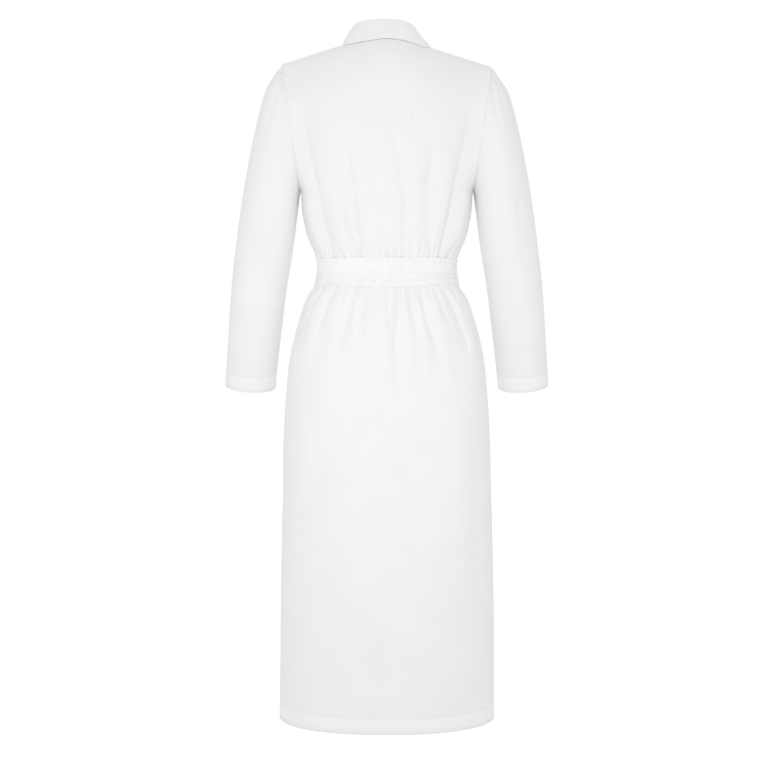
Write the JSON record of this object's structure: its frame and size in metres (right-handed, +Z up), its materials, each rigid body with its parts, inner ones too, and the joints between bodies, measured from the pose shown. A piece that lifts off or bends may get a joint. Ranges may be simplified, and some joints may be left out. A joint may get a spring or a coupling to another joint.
{
  "type": "nurse uniform dress",
  "caption": "Long-sleeved midi uniform dress with a shirt collar, gathered sleeve heads, elasticated waist and full button front, filled out as worn.",
  "frame": {"origin": "middle of the shoulder line, where the wearer's shoulders carry the dress", "axes": "+Z up, -Y the front of the dress, +X the wearer's left side"},
  "size_m": [0.574, 0.274, 1.2012],
  "materials": {
    "cloth": "fine plain-weave polyester cotton, matte with a faint sheen",
    "buttons": "satin white polyester resin"
  },
  "bodies": {
    "root": {"bodice_back": "cloth", "bodice_front_left": "cloth", "bodice_front_right": "cloth", "sleeve_left": "cloth", "sleeve_right": "cloth", "collar": "cloth", "waistband": "cloth", "skirt_back": "cloth", "skirt_front_left": "cloth", "skirt_front_right": "cloth", "placket": "cloth", "button_01": "buttons", "button_02": "buttons", "button_03": "buttons", "button_04": "buttons", "button_05": "buttons", "button_06": "buttons", "button_07": "buttons", "button_08": "buttons", "button_09": "buttons", "button_10": "buttons", "button_11": "buttons"}
  },
  "joints": []
}
